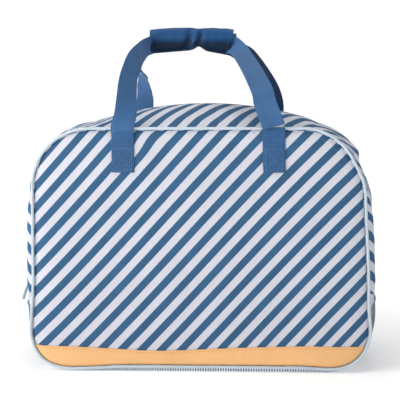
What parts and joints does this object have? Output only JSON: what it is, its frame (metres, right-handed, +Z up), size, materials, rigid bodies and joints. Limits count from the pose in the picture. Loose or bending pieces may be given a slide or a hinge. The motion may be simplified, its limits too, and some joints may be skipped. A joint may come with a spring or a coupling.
{
  "type": "weekender bag",
  "caption": "Soft rectangular travel bag with piped striped panels, a zipped mouth, side mesh pockets and webbing handles joined by a padded grip wrap.",
  "frame": {"origin": "on the floor, under the middle of the base", "axes": "+Z up, the front panel faces -Y, +X to the right of someone looking at the front panel"},
  "size_m": [0.5155, 0.2346, 0.4725],
  "materials": {
    "striped_fabric": "satin",
    "piping": "satin",
    "base_band": "matte",
    "mesh": "matte",
    "lining": "matte",
    "foam": "matte",
    "binding": "matte",
    "board": "matte",
    "zip_tape": "matte",
    "zip_coil": "satin",
    "pull_metal": "satin",
    "zip_pull": "satin",
    "webbing": "matte",
    "thread": "matte",
    "wrap": "satin",
    "closure": "matte"
  },
  "bodies": {
    "bag_body": {"front_panel": "striped_fabric", "rear_panel": "striped_fabric", "front_foam": "foam", "rear_foam": "foam", "front_lining": "lining", "rear_lining": "lining", "front_base_band": "base_band", "rear_base_band": "base_band", "front_piping": "piping", "rear_piping": "piping", "gusset_front": "striped_fabric", "gusset_rear": "striped_fabric", "gusset_lining_front": "lining", "gusset_lining_rear": "lining", "seam_binding_front": "binding", "seam_binding_rear": "binding", "base_gusset": "mesh", "base_lining": "lining", "base_board": "board", "mesh_pocket_left": "mesh", "mesh_pocket_right": "mesh", "pocket_binding_left": "binding", "pocket_binding_right": "binding", "zip_tape_left": "zip_tape", "zip_tape_right": "zip_tape", "zip_coil_left": "zip_coil", "zip_coil_right": "zip_coil", "zip_stop_left": "pull_metal", "zip_stop_right": "pull_metal", "handle_anchor_front_left": "webbing", "handle_anchor_front_right": "webbing", "handle_anchor_rear_left": "webbing", "handle_anchor_rear_right": "webbing", "handle_strap_front_left": "webbing", "handle_strap_front_right": "webbing", "handle_strap_rear_left": "webbing", "handle_strap_rear_right": "webbing", "box_stitches": "thread"},
    "handle": {"grip_webbing_front": "webbing", "grip_webbing_rear": "webbing", "grip_wrap": "wrap", "grip_loop_strip": "closure"},
    "wrap_flap": {"grip_flap": "wrap", "grip_hook_strip": "closure"},
    "slider": {"zip_slider": "pull_metal"},
    "pull": {"zip_pull": "zip_pull"},
    "mouth_front": {"mouth_strip_front": "striped_fabric", "mouth_lining_front": "lining", "mouth_tape_front": "zip_tape", "mouth_coil_front": "zip_coil"},
    "mouth_rear": {"mouth_strip_rear": "striped_fabric", "mouth_lining_rear": "lining", "mouth_tape_rear": "zip_tape", "mouth_coil_rear": "zip_coil"}
  },
  "joints": [
    {"name": "handle_drop", "type": "slide", "parent": "bag_body", "child": "handle", "axis": [0, 0, -1], "range_m": [0, 0.066], "deforming": ["handle_strap_front_left", "handle_strap_front_right", "handle_strap_rear_left", "handle_strap_rear_right"]},
    {"name": "wrap_flap_open", "type": "hinge", "parent": "handle", "child": "wrap_flap", "pos_m": [-0.01, 0.009, 0.466], "axis": [1, 0, 0], "range_deg": [0, 150]},
    {"name": "zip_run", "type": "slide", "parent": "bag_body", "child": "slider", "axis": [0, 0, 1], "range_m": [0, 0.128]},
    {"name": "pull_swing", "type": "hinge", "parent": "slider", "child": "pull", "pos_m": [-0.24756, 0, 0.126], "axis": [0, 1, 0], "range_deg": [-2, 154]},
    {"name": "mouth_front_fold", "type": "hinge", "parent": "bag_body", "child": "mouth_front", "pos_m": [0, -0.101, 0.3284], "axis": [-1, 0, 0], "range_deg": [0, 65]},
    {"name": "mouth_rear_fold", "type": "hinge", "parent": "bag_body", "child": "mouth_rear", "pos_m": [0, 0.101, 0.3284], "axis": [1, 0, 0], "range_deg": [0, 65]}
  ]
}
